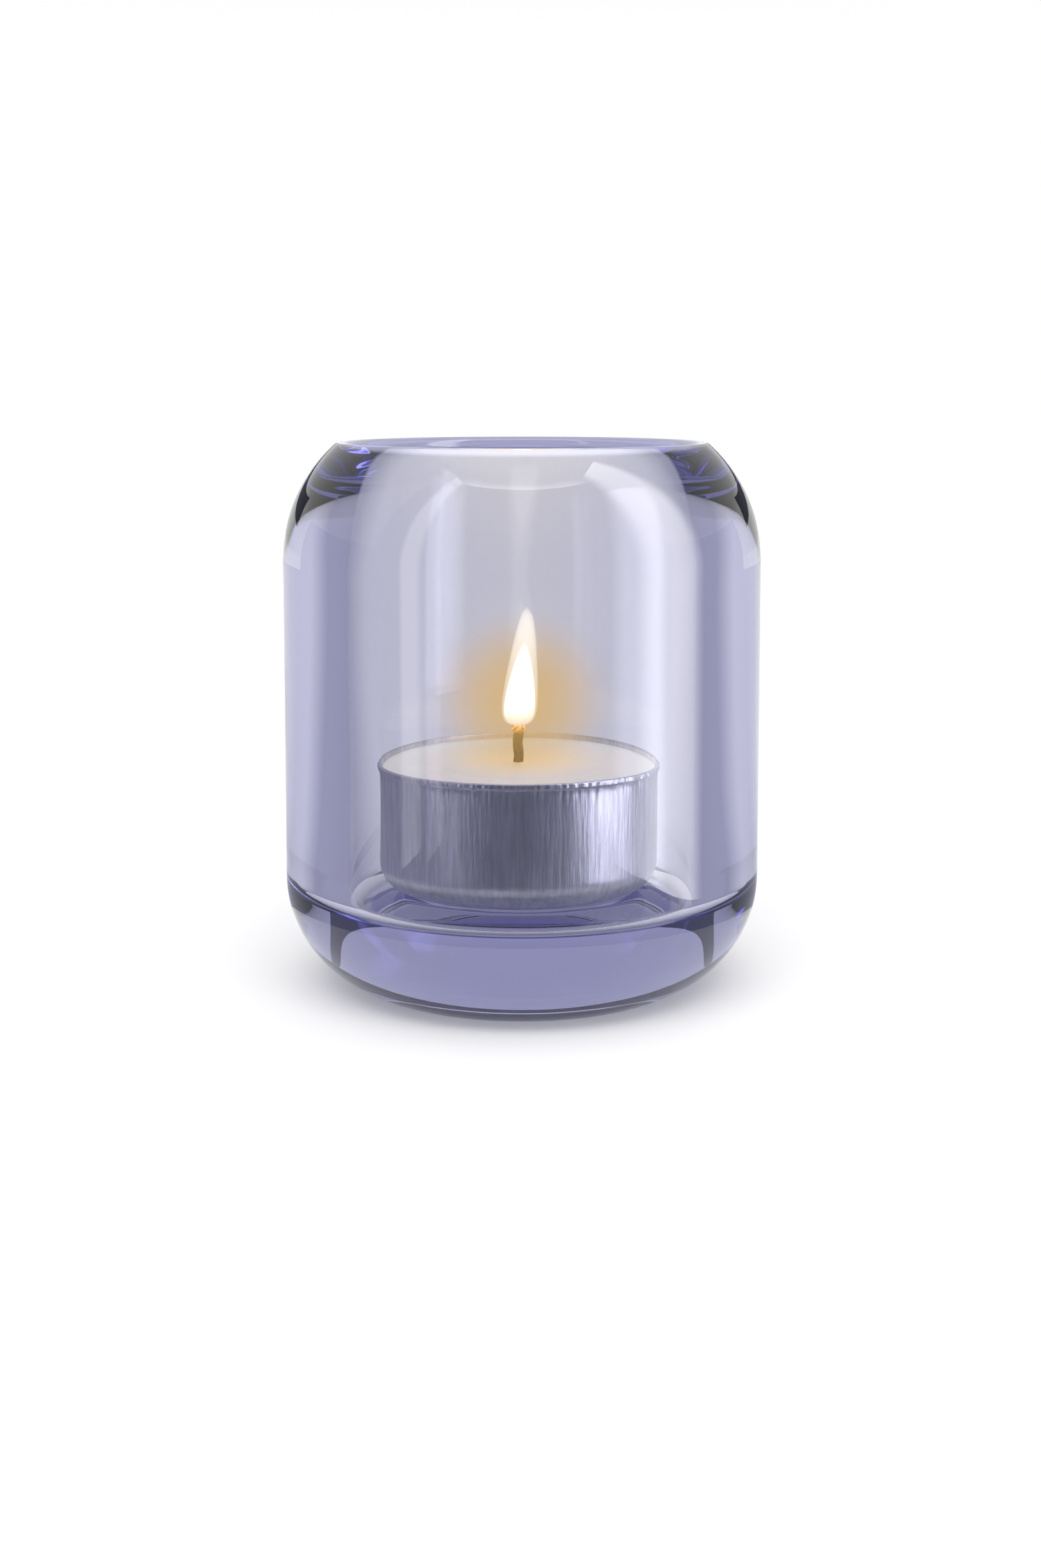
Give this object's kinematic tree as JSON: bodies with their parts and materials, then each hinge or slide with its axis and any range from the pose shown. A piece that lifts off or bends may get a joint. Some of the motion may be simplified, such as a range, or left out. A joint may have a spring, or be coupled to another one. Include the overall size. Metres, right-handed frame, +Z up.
{
  "type": "tealight holder",
  "caption": "Heavy tumbler of tinted pressed glass with round shoulders and a straight cavity, holding a tealight candle that lifts out.",
  "frame": {"origin": "centre of the glass's flat foot, on the surface it stands on", "axes": "+Z up along the glass's axis, towards its open mouth; -Y is the side seen from the front"},
  "size_m": [0.0644, 0.0644, 0.0734],
  "materials": {
    "glass": "polished, smoky lavender all through",
    "cup": "satin, thin drawn sheet",
    "wax": "smooth translucent candle wax",
    "wick": "braided cotton, charred at the top",
    "sustainer": "bright stamped sheet",
    "flame": "glowing candle flame, which is no solid"
  },
  "bodies": {
    "holder": {"glass_holder": "glass"},
    "candle": {"candle_cup": "cup", "wax": "wax", "wick": "wick", "wick_sustainer": "sustainer"}
  },
  "joints": [
    {"name": "candle_lift", "type": "slide", "parent": "holder", "child": "candle", "axis": [0, 0, 1], "range_m": [0, 0.065]}
  ]
}
